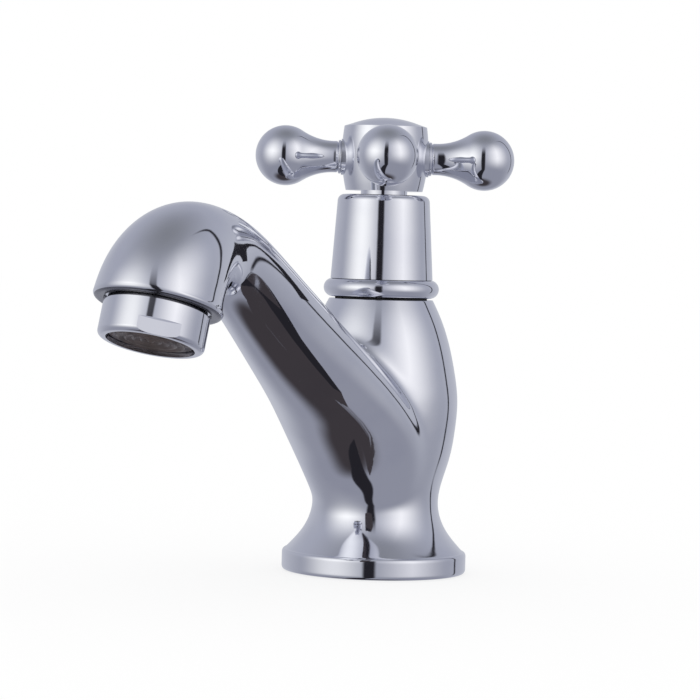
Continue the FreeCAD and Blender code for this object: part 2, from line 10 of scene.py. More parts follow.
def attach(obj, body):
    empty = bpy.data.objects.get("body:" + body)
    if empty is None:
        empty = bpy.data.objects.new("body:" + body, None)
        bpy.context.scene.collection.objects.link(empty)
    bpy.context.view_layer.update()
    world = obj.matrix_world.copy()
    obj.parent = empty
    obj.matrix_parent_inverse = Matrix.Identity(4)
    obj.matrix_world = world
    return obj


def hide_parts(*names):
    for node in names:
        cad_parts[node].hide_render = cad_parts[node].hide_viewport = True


# Cross handle basin tap, in metres, in the same frame as its solids:
# +Z up along the column, the spout reaches along -Y.

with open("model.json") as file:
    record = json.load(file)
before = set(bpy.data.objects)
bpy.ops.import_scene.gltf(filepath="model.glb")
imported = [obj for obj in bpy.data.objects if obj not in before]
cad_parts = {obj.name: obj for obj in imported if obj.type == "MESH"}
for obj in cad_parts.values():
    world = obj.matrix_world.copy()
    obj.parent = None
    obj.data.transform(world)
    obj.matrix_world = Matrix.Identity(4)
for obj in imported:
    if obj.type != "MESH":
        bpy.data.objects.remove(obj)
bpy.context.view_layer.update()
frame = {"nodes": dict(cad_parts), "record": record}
MM = 0.001

# ---------------------------------------------------------------- sizes of the pieces, in millimetres

RING_VERTS = 48

# casting: rings as radius and height
FOOT = (22.3, 5.3)
NECK = (13.0, 68.1)
# casting: where column and spout part, as x, y, z or as y, z
SPLIT_SIDE = (18.6, -5.0, 40.0)
SPLIT_CROTCH_Y = -19.5
SPLIT_CROTCH_Z = 57.0
SPLIT_FRONT = (-24.0, 31.5)
SPLIT_BACK = (20.0, 44.0)
# casting: rings of the underside with the base's edge, and of the neck, as radius and height
UNDERSIDE = (
    (9.3, 14.0), (9.3, 7.0), (9.3, 0.3), (9.45, 0.0), (9.8, 0.0), (14.2, 0.0), (14.45, 0.0), (14.5, 0.15),
    (14.5, 1.0), (14.5, 1.9), (14.65, 2.0), (17.0, 2.0), (19.35, 2.0), (19.5, 1.9), (19.5, 1.0), (19.5, 0.15),
    (19.6, 0.0), (20.8, 0.0), (22.1, 0.0), (22.6, 0.06), (22.94, 0.33), (23.1, 0.8), (23.1, 1.2),
    (23.1, 2.65), (23.1, 4.1), (23.1, 4.5), (22.94, 4.97), (22.65, 5.22), (22.42, 5.29),
)
NECK_TOP = ((12.94, 68.1), (12.5, 68.1), (10.5, 68.1), (10.3, 68.0), (10.3, 67.6), (10.3, 60.0))
# spout's middle line: reach, height, half width, thickness above and below
SPINE = (
    (37.6, 54.7, 13.55, 11.0, 11.0),
    (59.0, 69.2, 10.6, 10.1, 10.1),
    (72.5, 77.0, 9.8, 9.8, 9.8),
    (82.5, 79.3, 10.6, 10.6, 10.6),
    (91.95, 77.65, 12.7, 12.7, 12.7),
    (98.6, 72.9, 13.9, 13.9, 13.9),
    (101.4, 66.7, 14.7, 14.7, 14.7),
)
# mouth: reach and height of its middle, lean of its axis, rings as radius and distance out
MOUTH = (101.4, 66.7)
MOUTH_LEAN = math.radians(17.6)
MOUTH_LIP = (
    (14.7, -1.1), (14.62, -0.68), (14.38, -0.32), (14.02, -0.08), (13.6, 0.0), (13.3, 0.0), (12.3, 0.0),
    (12.1, -0.05), (12.05, -0.3), (12.05, -3.0), (12.05, -6.3), (11.9, -6.5), (10.5, -6.5),
)
# fuller front of the waist: reach and height of its middle, how far it swells and how far that spreads
SHIN = (21.5, 29.5)
SHIN_SWELL = 1.3
SHIN_REACH = 8.0
SHIN_WIDTH = 11.0
# rows of the casting's cage, and the shares of its two rows next to a rim
ROWS_LOWER = 13
ROWS_UPPER = 8
ROWS_ROOT = 11
ROWS_SPOUT = 30
FOOT_ROW = 0.012
NECK_ROW = 0.985
CASTING_LEVELS = 2
# how the cage is laid on the solid: where a ray starts off it and how far it runs, then the rounds of
# smoothing, each with its reach for the solid and its strength
SNAP_START = 4
SNAP_LENGTH = 20
SETTLE_ROUNDS = 12
SETTLE_REACH = 2.5
SMOOTHING = 0.5

# cross handle: arms and beads as radius and distance from the column's axis
ARM_TURN = -59.5
ARM_HEIGHT = 103.3
SPIGOT = (2.5, 7.0)
ARM_ROOT = (3.95, 11.7)
ARM_WAIST = (4.35, 16.3)
ARM_BALL = 7.5
ARM_LENGTH = 32.3
ARM_JOIN = 124.0
ARM_ROWS_WAIST = 18
ARM_ROWS_BALL = 34
ARM_LEVELS = 1
BEAD = (
    (2.5, 10.9), (3.85, 10.9), (4.07, 10.98), (4.2, 11.18), (4.2, 11.42), (4.07, 11.62), (3.85, 11.7),
    (2.5, 11.7),
)

# grille in the mouth, as radius and distance out
GRILLE_SLEEVE = ((2.0, 4.9), (9.5, 4.9), (9.55, 0.5), (10.35, 0.5), (10.35, 6.5), (9.7, 6.5), (9.65, 7.3))
GRILLE_RADIUS = 9.55
GRILLE_FACE = 7.4
GRILLE_RINGS = (7.6, 5.8, 4.0, 2.2, 0.5)
GRILLE_RING_WIDTH = 0.34
GRILLE_RING_HEIGHT = 0.55
GRILLE_ROWS = 60
# the recess between lip and aerator ring, whose chrome is darkened with painted shade, as distance out and
# radius
RECESS_OUT = (-0.36, 0.72)
RECESS_ACROSS = (10.5, 14.6)

# edges sharper than these angles stay crisp
CREASE = 28
FLAT_CREASE = 15
GRILLE_CREASE = 50
# vertices nearer than these are one
CASTING_MERGE = 0.01
COPY_MERGE = 0.002
LATHE_MERGE = 0.005

# ---------------------------------------------------------------- casting

def circle_angles():
    return [2 * math.pi * k / RING_VERTS for k in range(RING_VERTS)]


def level_ring(radius, height):
    return [Vector((radius * math.cos(a), radius * math.sin(a), height)) * MM for a in circle_angles()]


def first_ring(bm, points):
    ring = bmesh.ops.create_circle(bm, segments=len(points), radius=MM)["verts"]
    for vert, point in zip(ring, points):
        vert.co = point
    return ring


def next_ring(bm, ring, points):
    """Extrudes a ring of vertices and moves the new ring to its points."""
    edges = [bm.edges.get((a, b)) for a, b in zip(ring, ring[1:] + ring[:1])]
    made = set(bmesh.ops.extrude_edge_only(bm, edges=edges)["geom"])
    after = []
    for vert, point in zip(ring, points):
        new = next(e.other_vert(vert) for e in vert.link_edges if e.other_vert(vert) in made)
        new.co = point
        after.append(new)
    return after


def tube(bm, rings):
    """Tube through the rings of points; returns its rings of vertices."""
    made = [first_ring(bm, rings[0])]
    for points in rings[1:]:
        made.append(next_ring(bm, made[-1], points))
    return made


def cap(bm, ring):
    bmesh.ops.contextual_create(bm, geom=ring)


def lerp_ring(start, end, share):
    return [a.lerp(b, share) for a, b in zip(start, end)]


def split_line():
    """The line over the crotch between spout and column, from the right side to the left."""
    side_x, side_y, side_z = SPLIT_SIDE
    points = []
    for k in range(RING_VERTS // 2 + 1):
        a = 2 * math.pi * k / RING_VERTS
        y = side_y + (SPLIT_CROTCH_Y - side_y) * math.sin(a)
        z = side_z + (SPLIT_CROTCH_Z - side_z) * math.sin(a) ** 2
        points.append(Vector((side_x * math.cos(a), y, z)) * MM)
    return points


def split_half(y_far, z_far):
    """Half ring from the right side to the left, round the front or the back of the column."""
    side_x, side_y, side_z = SPLIT_SIDE
    points = []
    for k in range(RING_VERTS // 2 + 1):
        a = 2 * math.pi * k / RING_VERTS
        y = side_y + (y_far - side_y) * math.sin(a)
        z = side_z + (z_far - side_z) * math.sin(a)
        points.append(Vector((side_x * math.cos(a), y, z)) * MM)
    return points


def spine_at(step):
    """Place, direction and sizes on the spout's middle line, step counted in stations."""
    last = len(SPINE) - 1
    i = min(int(step), last - 1)
    t = step - i
    rows = [SPINE[max(0, min(last, i + k))] for k in (-1, 0, 1, 2)]
    if i == 0:
        rows[0] = tuple(2 * a - b for a, b in zip(SPINE[0], SPINE[1]))
    if i == last - 1:
        # the middle line leaves the mouth along the mouth's own axis
        chord = math.dist(SPINE[last][:2], SPINE[last - 1][:2])
        out = (math.sin(MOUTH_LEAN) * chord, -math.cos(MOUTH_LEAN) * chord)
        rows[3] = (rows[1][0] + 2 * out[0], rows[1][1] + 2 * out[1]) + SPINE[last][2:]
    row = []
    slope = []
    for p0, p1, p2, p3 in zip(*rows):
        m1 = (p2 - p0) / 2
        m2 = (p3 - p1) / 2
        a = 2 * p1 - 2 * p2 + m1 + m2
        b = -3 * p1 + 3 * p2 - 2 * m1 - m2
        row.append(((a * t + b) * t + m1) * t + p1)
        slope.append((3 * a * t + 2 * b) * t + m1)
    return row, Vector((0, -slope[0], slope[1])).normalized()


def spout_ring(step):
    (reach, height, width, above, below), along = spine_at(step)
    centre = Vector((0, -reach, height))
    up = Vector((0, along.z, -along.y))
    points = []
    for a in circle_angles():
        thick = above if a <= math.pi else below
        points.append((centre + Vector((width * math.cos(a), 0, 0)) + up * thick * math.sin(a)) * MM)
    return points


def mouth_ring(radius, out):
    """Ring about the mouth's axis, out counted from the mouth's plane."""
    axis = Vector((0, -math.sin(MOUTH_LEAN), -math.cos(MOUTH_LEAN)))
    up = Vector((0, axis.z, -axis.y))
    centre = Vector((0, -MOUTH[0], MOUTH[1])) + axis * out
    points = []
    for a in circle_angles():
        points.append((centre + Vector((radius * math.cos(a), 0, 0)) + up * radius * math.sin(a)) * MM)
    return points


def centre_of(points):
    return sum(points, Vector()) / len(points)


def onto_surface(surface, points, centre):
    """Each point moved along its line to the centre, onto the outside of the solid."""
    placed = []
    for point in points:
        out = (point - centre).normalized()
        hit = surface.ray_cast(point + out * SNAP_START * MM, -out, SNAP_LENGTH * MM)[0]
        placed.append(hit or point)
    return placed


def casting_mesh():
    """Base, column and spout as one skin over the solid: a lower, an upper and a spout tube that meet."""
    node = frame["nodes"]["body_casting"].data
    surface = BVHTree.FromPolygons([v.co for v in node.vertices], [p.vertices for p in node.polygons])
    half = RING_VERTS // 2
    crotch = split_line()
    back = split_half(*SPLIT_BACK)
    front = split_half(*SPLIT_FRONT)
    lower_end = back[:half] + [front[half - k] for k in range(half)]
    upper_start = back[:half] + [crotch[half - k] for k in range(half)]
    spout_start = crotch[:half] + [front[half - k] for k in range(half)]

    def on_column(points):
        placed = []
        for point in points:
            placed += onto_surface(surface, [point], Vector((0, 0, point.z)))
        return placed

    def on_spout(points):
        return onto_surface(surface, points, centre_of(points))

    foot = level_ring(*FOOT)
    neck = level_ring(*NECK)
    shares = [0.0, FOOT_ROW] + [k / ROWS_LOWER for k in range(1, ROWS_LOWER + 1)]
    lower = [foot] + [on_column(lerp_ring(foot, lower_end, s)) for s in shares[1:-1]] + [lower_end]
    shares = [k / ROWS_UPPER for k in range(1, ROWS_UPPER)] + [NECK_ROW]
    upper = [upper_start] + [on_column(lerp_ring(upper_start, neck, s)) for s in shares] + [neck]
    first = spout_ring(0.0)
    shares = [k / ROWS_ROOT for k in range(1, ROWS_ROOT)]
    root = [spout_start] + [on_spout(lerp_ring(spout_start, first, s)) for s in shares]
    last = len(SPINE) - 1
    spout = [on_spout(spout_ring(last * k / ROWS_SPOUT)) for k in range(ROWS_SPOUT)]

    bm = bmesh.new()
    free = bm.verts.layers.int.new("free")
    base_rings = tube(bm, [level_ring(r, z) for r, z in UNDERSIDE] + lower)
    neck_rings = tube(bm, upper + [level_ring(r, z) for r, z in NECK_TOP])
    spout_rings = tube(bm, root + spout + [mouth_ring(r, w) for r, w in MOUTH_LIP])
    loose = base_rings[len(UNDERSIDE) + 2:] + neck_rings[:ROWS_UPPER]
    loose += spout_rings[:len(root) + len(spout) - 1]
    for ring in loose:
        for vert in ring:
            vert[free] = 1
    cap(bm, base_rings[0])
    cap(bm, neck_rings[-1])
    cap(bm, spout_rings[-1])
    bmesh.ops.remove_doubles(bm, verts=bm.verts, dist=CASTING_MERGE * MM)
    bmesh.ops.recalc_face_normals(bm, faces=bm.faces)
    moving = [v for v in bm.verts if v[free]]
    for settling in range(SETTLE_ROUNDS):
        bmesh.ops.smooth_vert(
            bm, verts=moving, factor=SMOOTHING, use_axis_x=True, use_axis_y=True, use_axis_z=True
        )
        bm.normal_update()
        for vert in moving:
            start = vert.co + vert.normal * SETTLE_REACH * MM
            hit = surface.ray_cast(start, -vert.normal, 2 * SETTLE_REACH * MM)[0]
            if hit:
                vert.co = hit
    # the front of the waist runs fuller into the spout's underside
    for vert in moving:
        off = Vector((
            vert.co.x / MM / SHIN_WIDTH,
            (vert.co.y / MM + SHIN[0]) / SHIN_REACH,
            (vert.co.z / MM - SHIN[1]) / SHIN_REACH,
        ))
        vert.co += vert.normal * SHIN_SWELL * MM * math.exp(-off.length_squared)
    return bm


# ---------------------------------------------------------------- pieces

def add_piece(bm, name, body, material, nodes, levels=0):
    """Puts a finished mesh in the scene in place of the solids that it shows."""
    mesh = bpy.data.meshes.new(name)
    bm.to_mesh(mesh)
    bm.free()
    mesh.materials.append(material)
    for face in mesh.polygons:
        face.use_smooth = True
    piece = bpy.data.objects.new(name, mesh)
    bpy.context.scene.collection.objects.link(piece)
    if levels:
        smooth = piece.modifiers.new("Smooth", "SUBSURF")
        smooth.levels = levels
        smooth.render_levels = levels
    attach(piece, body)
    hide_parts(*nodes)
    return piece


def merged_copy(node, crease=CREASE):
    """The solid's own mesh with its triangles joined and its edges above the crease angle marked sharp."""
    bm = bmesh.new()
    bm.from_mesh(frame["nodes"][node].data)
    bmesh.ops.remove_doubles(bm, verts=bm.verts, dist=COPY_MERGE * MM)
    for edge in bm.edges:
        edge.smooth = edge.calc_face_angle(0.0) < math.radians(crease)
    return bm


def lathe(profile, loop=False):
    """Round piece about +Z through the profile's points; a loop ends where it starts."""
    bm = bmesh.new()
    points = list(profile) + [profile[0]] if loop else profile
    rings = tube(bm, [level_ring(r, z) for r, z in points])
    if not loop:
        cap(bm, rings[0])
        cap(bm, rings[-1])
    bmesh.ops.remove_doubles(bm, verts=bm.verts, dist=LATHE_MERGE * MM)
    bmesh.ops.recalc_face_normals(bm, faces=bm.faces)
    for edge in bm.edges:
        edge.smooth = edge.calc_face_angle(0.0) < math.radians(CREASE)
    return bm


def arc_points(start, middle, end, count):
    """Points on the arc through three points, without its end."""
    (ax, ay), (bx, by), (cx, cy) = start, middle, end
    d = 2 * (ax * (by - cy) + bx * (cy - ay) + cx * (ay - by))
    sa, sb, sc = (x * x + y * y for x, y in (start, middle, end))
    ux = (sa * (by - cy) + sb * (cy - ay) + sc * (ay - by)) / d
    uy = (sa * (cx - bx) + sb * (ax - cx) + sc * (bx - ax)) / d
    radius = math.dist(start, (ux, uy))
    first = math.atan2(ay - uy, ax - ux)
    turn = math.remainder(math.atan2(cy - uy, cx - ux) - first, 2 * math.pi)
    angles = [first + turn * k / count for k in range(count)]
    return [(ux + radius * math.cos(a), uy + radius * math.sin(a)) for a in angles]


def arm_profile():
    """Spigot, root, waist and ball end of an arm, as radius and distance from the column's axis."""
    join = math.radians(ARM_JOIN)
    centre = ARM_LENGTH - ARM_BALL
    meet = (ARM_BALL * math.sin(join), centre + ARM_BALL * math.cos(join))
    points = [SPIGOT, (SPIGOT[0], ARM_ROOT[1])] + arc_points(ARM_ROOT, ARM_WAIST, meet, ARM_ROWS_WAIST)
    for k in range(ARM_ROWS_BALL):
        a = join * (1 - k / ARM_ROWS_BALL)
        points.append((ARM_BALL * math.sin(a), centre + ARM_BALL * math.cos(a)))
    return points


def laid_out(bm, index):
    """A piece built along +Z, laid along one arm's direction."""
    bmesh.ops.rotate(bm, matrix=Matrix.Rotation(math.pi / 2, 3, "Y"), verts=bm.verts)
    turn = math.radians(ARM_TURN + 90 * index)
    bmesh.ops.rotate(bm, matrix=Matrix.Rotation(turn, 3, "Z"), verts=bm.verts)
    bmesh.ops.translate(bm, vec=(0, 0, ARM_HEIGHT * MM), verts=bm.verts)
    return bm


def grille_mesh():
    """Plastic cage of the aerator; its outlet face carries soft concentric rings."""
    profile = list(GRILLE_SLEEVE)
    for k in range(GRILLE_ROWS):
        radius = GRILLE_RADIUS * (1 - k / GRILLE_ROWS)
        ring = sum(math.exp(-((radius - r) / GRILLE_RING_WIDTH) ** 2) for r in GRILLE_RINGS)
        profile.append((radius, GRILLE_FACE + GRILLE_RING_HEIGHT * ring))
    bm = bmesh.new()
    rings = tube(bm, [mouth_ring(r, out) for r, out in profile])
    cap(bm, rings[0])
    cap(bm, rings[-1])
    bmesh.ops.recalc_face_normals(bm, faces=bm.faces)
    for edge in bm.edges:
        edge.smooth = edge.calc_face_angle(0.0) < math.radians(GRILLE_CREASE)
    return bm


def paint_recess_shade(piece):
    """The lip's underside and the groove below it get a rougher chrome whose dark colour is painted shade."""
    piece.data.materials.append(SHADED_RECESS_CHROME)
    near, far = RECESS_OUT
    inner, outer = RECESS_ACROSS
    axis = Vector((0, -math.sin(MOUTH_LEAN), -math.cos(MOUTH_LEAN)))
    centre = Vector((0, -MOUTH[0], MOUTH[1])) * MM
    for face in piece.data.polygons:
        out = (face.center - centre).dot(axis)
        across = (face.center - centre - axis * out).length
        if near < out / MM < far and inner < across / MM < outer:
            face.material_index = 1


# ---------------------------------------------------------------- materials

CLOUD_DETAIL = 3.0
GRAIN_DETAIL = 2.0
# the noise values between which a cloudy mark fades in
CLOUD_LIMITS = (0.42, 0.72)
CLOUD_SHARE = 0.7
GRAIN_SHARE = 0.3
GRAIN_HEIGHT = 0.06
LINE_HEIGHT = 0.4


class Maths:
    """Short names for the maths nodes of one node tree."""

    def __init__(self, tree):
        self.nodes = tree.nodes
        self.links = tree.links

    def fill(self, socket, value):
        if isinstance(value, bpy.types.NodeSocket):
            self.links.new(value, socket)
        else:
            socket.default_value = value

    def do(self, operation, *values):
        node = self.nodes.new("ShaderNodeMath")
        node.operation = operation
        for socket, value in zip(node.inputs, values):
            self.fill(socket, value)
        return node.outputs[0]

    def step(self, value, start, end):
        """0 at start, 1 at end, smooth between."""
        node = self.nodes.new("ShaderNodeMapRange")
        node.interpolation_type = "SMOOTHSTEP"
        self.fill(node.inputs["Value"], value)
        self.fill(node.inputs["From Min"], start)
        self.fill(node.inputs["From Max"], end)
        return node.outputs["Result"]

    def window(self, value, centre, half, soft):
        """1 within half of the centre, 0 beyond, with a soft edge."""
        off = self.do("ABSOLUTE", self.do("SUBTRACT", value, centre))
        return self.step(off, self.do("ADD", half, soft), self.do("SUBTRACT", half, soft))

    def both(self, first, second):
        return self.do("MULTIPLY", first, second)

    def mix(self, share, low, high):
        node = self.nodes.new("ShaderNodeMix")
        node.data_type = "RGBA"
        self.fill(node.inputs["Factor"], share)
        colours = [socket for socket in node.inputs if socket.type == "RGBA"]
        for socket, value in zip(colours, (low, high)):
            self.fill(socket, value + (1,) if isinstance(value, tuple) else value)
        return [socket for socket in node.outputs if socket.type == "RGBA"][0]


def new_material(name):
    material = bpy.data.materials.new(name)
    material.use_nodes = True
    return material, material.node_tree.nodes, material.node_tree.links


def new_group(name, numbers, results):
    """Node group with number inputs and number outputs; returns it with its ends."""
    group = bpy.data.node_groups.new(name, "ShaderNodeTree")
    for label, value in numbers:
        socket = group.interface.new_socket(label, in_out="INPUT", socket_type="NodeSocketFloat")
        socket.default_value = value
    for label in results:
        group.interface.new_socket(label, in_out="OUTPUT", socket_type="NodeSocketFloat")
    return group, group.nodes.new("NodeGroupInput"), group.nodes.new("NodeGroupOutput")


def noise(m, place, scale, detail):
    node = m.nodes.new("ShaderNodeTexNoise")
    m.links.new(place, node.inputs["Vector"])
    m.fill(node.inputs["Scale"], scale)
    node.inputs["Detail"].default_value = detail
    return node.outputs["Fac"]


def surface_marks():
    """Cloudy marks over fine grain: a mask, a roughness between two limits and a height."""
    numbers = [("Cloud Scale", 40.0), ("Grain Scale", 900.0), ("Smooth", 0.04), ("Dull", 0.1)]
    group, given, result = new_group("surface_marks", numbers, ("Mask", "Roughness", "Height"))
    m = Maths(group)
    place = group.nodes.new("ShaderNodeTexCoord").outputs["Object"]
    cloud = noise(m, place, given.outputs["Cloud Scale"], CLOUD_DETAIL)
    grain = noise(m, place, given.outputs["Grain Scale"], GRAIN_DETAIL)
    mask = m.step(cloud, *CLOUD_LIMITS)
    share = m.do("ADD", m.do("MULTIPLY", mask, CLOUD_SHARE), m.do("MULTIPLY", grain, GRAIN_SHARE))
    spread = m.do("SUBTRACT", given.outputs["Dull"], given.outputs["Smooth"])
    rough = m.do("ADD", given.outputs["Smooth"], m.do("MULTIPLY", share, spread))
    height = m.do("ADD", cloud, m.do("MULTIPLY", grain, GRAIN_HEIGHT))
    for value, socket in zip((mask, rough, height), result.inputs):
        m.links.new(value, socket)
    return group


def tool_lines():
    """Fine rings that a lathe leaves, as a height."""
    group, given, result = new_group("tool_lines", [("Line Scale", 1500.0)], ("Height",))
    m = Maths(group)
    place = group.nodes.new("ShaderNodeTexCoord").outputs["Object"]
    apart = group.nodes.new("ShaderNodeSeparateXYZ")
    group.links.new(place, apart.inputs[0])
    squares = m.do("ADD", m.do("POWER", apart.outputs["X"], 2), m.do("POWER", apart.outputs["Y"], 2))
    across = m.do("SQRT", squares)
    run = m.do("MULTIPLY", m.do("ADD", apart.outputs["Z"], across), given.outputs["Line Scale"])
    group.links.new(m.do("MULTIPLY_ADD", m.do("SINE", run), 0.5, 0.5), result.inputs["Height"])
    return group


MARKS = surface_marks()
LINES = tool_lines()


def finish(name, dark, light, smooth, dull, cloud=60.0, grain=900.0, bump=0.02, metallic=0.0, turned=False):
    """Material whose colour, roughness and relief vary with the surface marks.

    Dark and light are its colours, smooth and dull its roughnesses, cloud and grain the scales of its
    marks, bump the depth of its relief in millimetres; turned adds the lines of a lathe.
    """
    material, nodes, links = new_material(name)
    shader = nodes["Principled BSDF"]
    shader.inputs["Metallic"].default_value = metallic
    m = Maths(material.node_tree)
    marks = nodes.new("ShaderNodeGroup")
    marks.node_tree = MARKS
    for label, value in (
        ("Cloud Scale", cloud), ("Grain Scale", grain), ("Smooth", smooth), ("Dull", dull),
    ):
        marks.inputs[label].default_value = value
    links.new(m.mix(marks.outputs["Mask"], light, dark), shader.inputs["Base Color"])
    links.new(marks.outputs["Roughness"], shader.inputs["Roughness"])
    height = marks.outputs["Height"]
    if turned:
        lines = nodes.new("ShaderNodeGroup")
        lines.node_tree = LINES
        height = m.do("ADD", height, m.do("MULTIPLY", lines.outputs["Height"], LINE_HEIGHT))
    relief = nodes.new("ShaderNodeBump")
    relief.inputs["Strength"].default_value = 1.0
    relief.inputs["Distance"].default_value = bump * MM
    links.new(height, relief.inputs["Height"])
    links.new(relief.outputs["Normal"], shader.inputs["Normal"])
    return material


CHROME = finish(
    "polished_chrome", (0.77, 0.78, 0.84), (0.81, 0.82, 0.87), 0.035, 0.075, 70.0, 700.0, 0.03, 1.0,
)
# rougher chrome for the mouth's recess; its dark colour is painted shade
SHADED_RECESS_CHROME = finish(
    "recess_chrome_painted_shade", (0.2, 0.2, 0.225), (0.27, 0.27, 0.295), 0.2, 0.34, 70.0, 700.0, 0.03, 1.0,
)
DARK_PLASTIC = finish(
    "dark_plastic", (0.046, 0.034, 0.033), (0.074, 0.056, 0.054), 0.3, 0.5, 300.0, 4000.0, 0.02,
)
RUBBER = finish(
    "seal_rubber", (0.016, 0.016, 0.017), (0.028, 0.028, 0.029), 0.6, 0.85, 250.0, 5000.0, 0.04,
)
BRASS = finish(
    "turned_brass", (0.5, 0.33, 0.13), (0.75, 0.55, 0.26), 0.18, 0.42, 150.0, 3000.0, 0.02, 1.0, True,
)
CERAMIC = finish(
    "lapped_ceramic", (0.76, 0.75, 0.71), (0.86, 0.85, 0.82), 0.12, 0.35, 200.0, 6000.0, 0.005,
)
STEEL = finish(
    "bright_steel", (0.42, 0.42, 0.43), (0.6, 0.6, 0.61), 0.16, 0.36, 180.0, 5000.0, 0.01, 1.0,
)
WHITE_PLASTIC = finish(
    "white_plastic", (0.7, 0.7, 0.67), (0.82, 0.82, 0.8), 0.3, 0.5, 250.0, 5000.0, 0.02,
)
FINISHES = {
    "chrome": CHROME, "dark_plastic": DARK_PLASTIC, "seal_rubber": RUBBER, "headwork_brass": BRASS,
    "disc_ceramic": CERAMIC, "spring_steel": STEEL, "screen_steel": STEEL, "white_plastic": WHITE_PLASTIC,
}

for part in frame["record"]["subparts"]:
    data = frame["nodes"][part["node"]].data
    data.materials.clear()
    data.materials.append(FINISHES[part["material_slot"]])

# painted shade darkens the recess under the mouth's lip, on the casting and on the aerator ring
paint_recess_shade(add_piece(casting_mesh(), "tap_casting", "root", CHROME, ["body_casting"],
                      CASTING_LEVELS))
paint_recess_shade(add_piece(merged_copy("aerator_housing", FLAT_CREASE), "aerator_ring", "root", CHROME,
                      ["aerator_housing"]))
add_piece(grille_mesh(), "aerator_grille", "root", DARK_PLASTIC, ["aerator_insert"])
for name, node, body in (("bell_shroud", "shroud", "root"), ("cross_hub", "handle_hub", "handle"),
                         ("hub_dome", "handle_cap", "handle")):
    add_piece(merged_copy(node), name, body, CHROME, [node])
for index, side in enumerate(("front", "right", "back", "left")):
    arm = laid_out(lathe(arm_profile()), index)
    add_piece(arm, "cross_arm_" + side, "handle", CHROME, ["handle_arm_" + side],
              ARM_LEVELS)
    bead = laid_out(lathe(BEAD, True), index)
    add_piece(bead, "arm_bead_" + side, "handle", CHROME, ["arm_collar_" + side])

# ---------------------------------------------------------------- studio

# camera: turn to the right of the spout; distance and height in metres; roll; focal length, and how far
# it aims across and down from a level line to the column, in pixels of the picture
CAMERA_TURN = math.radians(29.0)
CAMERA_DISTANCE = 0.740
CAMERA_HEIGHT = 0.0841
CAMERA_ROLL = math.radians(1.62)
CAMERA_LENS = 152.2
SENSOR_WIDTH = 36.0
FOCAL = 2960.0
AIM_ACROSS = -29.5
AIM_DOWN = 115.9

# light tent: turns are degrees round from the camera, rises are degrees up from level
WHITE = (1.0, 1.0, 1.0)
ROOF = (0.25, 0.26, 0.29)
ROOF_RISES = (30, 90)
WALL = (0.43, 0.445, 0.52)
SKIRT = (0.31, 0.32, 0.38)
SKIRT_RISES = (36, -29)
BACK_WALL = (0.55, 0.565, 0.625)
BACK_TURNS = (77, 171)
# the back wall's band: middle, half height and soft edge
BACK_BAND = (-5, 27, 16)
# soft boxes: middle, half width and soft edge in turn, the same three in rise, colour
SOFT_BOXES = (
    (-51, 28, 28, 13.5, 25, 34, (1.25, 1.25, 1.22)),
    (50, 24, 38, 19, 30, 23, (1.16, 1.15, 1.15)),
)
# the bench's edge rises and falls with the turn, and is soft for some degrees above and below
BENCH = (0.052, 0.045, 0.05)
BENCH_RISE = -69
BENCH_TILT = 7.5
BENCH_TURN = 143
BENCH_EDGE = (9, -9)
# below its bend the slit leans to the left and widens with every degree
SLIT = (0.02, 0.019, 0.024)
SLIT_TURN = -5.3
SLIT_HALF = 7.6
SLIT_SOFT = 2.6
SLIT_BEND = -35
SLIT_LEAN = 1.09
SLIT_SPREAD = 0.49
SLIT_TOP = (60, 22)
# above its bend the seam curves forward with the square of the degrees
SEAM_TURN = 123
SEAM_HALF = 1.9
SEAM_SOFT = 1.3
SEAM_FOOT = (-26, -14)
SEAM_TOP = (64, 46)
SEAM_BEND = 40
SEAM_CURVE = 0.055

# cards beside the spout: how far right, then corners as reach and height
NEAR_CARD = (16, (
    (66, 70), (60, 61), (52, 53), (44, 46), (36, 38), (31.5, 28), (33, 15), (40, 12), (58, 12), (63, 40),
))
EDGE_CARD = (15.8, (
    (66, 70), (60, 61), (52, 53), (44, 46), (36, 38), (38, 36), (46, 42), (54, 48), (62, 56), (66, 62),
))
FAR_CARD = (40, (
    (14, -26), (18, -40), (20, -70), (23, -88), (31, -101), (40, -113), (50, -128), (60, -145), (72, -163),
    (92, -184), (112, -205), (112, -330), (-12, -330), (-12, -150), (4, -80), (10, -45),
))
# small flag by the crook: its corners across and up from its place
FLAG_PLACE = (20.7, -41.7, 72.5)
FLAG_FACING = 17
FLAG = ((-4.5, -1.5), (1, -2), (0, 7), (-0.5, 19), (-2.5, 13), (-4.5, 8.5))
# floor: half its side in metres, its drop in millimetres, how much of the view of it is plain white
FLOOR_HALF = 3.0
FLOOR_DROP = 0.1
FLOOR_GLOW = 0.75


def add_camera():
    back = Vector((math.sin(CAMERA_TURN), -math.cos(CAMERA_TURN), 0))
    right = Vector((math.cos(CAMERA_TURN), math.sin(CAMERA_TURN), 0))
    data = bpy.data.cameras.new("camera")
    data.lens = CAMERA_LENS
    data.sensor_width = SENSOR_WIDTH
    camera = bpy.data.objects.new("camera", data)
    camera.location = back * CAMERA_DISTANCE + Vector((0, 0, CAMERA_HEIGHT))
    view = right * AIM_ACROSS - Vector((0, 0, 1)) * AIM_DOWN - back * FOCAL
    camera.rotation_mode = "QUATERNION"
    camera.rotation_quaternion = view.to_track_quat("-Z", "Y") @ Quaternion((0, 0, 1), CAMERA_ROLL)
    bpy.context.scene.collection.objects.link(camera)
    bpy.context.scene.camera = camera


def tent_angles(m):
    """Direction in the world as degrees round from the camera and degrees up."""
    place = m.nodes.new("ShaderNodeTexCoord")
    turn = m.nodes.new("ShaderNodeVectorRotate")
    turn.rotation_type = "Z_AXIS"
    turn.inputs["Angle"].default_value = -CAMERA_TURN
    apart = m.nodes.new("ShaderNodeSeparateXYZ")
    m.links.new(place.outputs["Generated"], turn.inputs["Vector"])
    m.links.new(turn.outputs["Vector"], apart.inputs["Vector"])
    towards = m.do("MULTIPLY", apart.outputs["Y"], -1)
    round_about = m.do("DEGREES", m.do("ARCTAN2", apart.outputs["X"], towards))
    return round_about, m.do("DEGREES", m.do("ARCSINE", apart.outputs["Z"]))


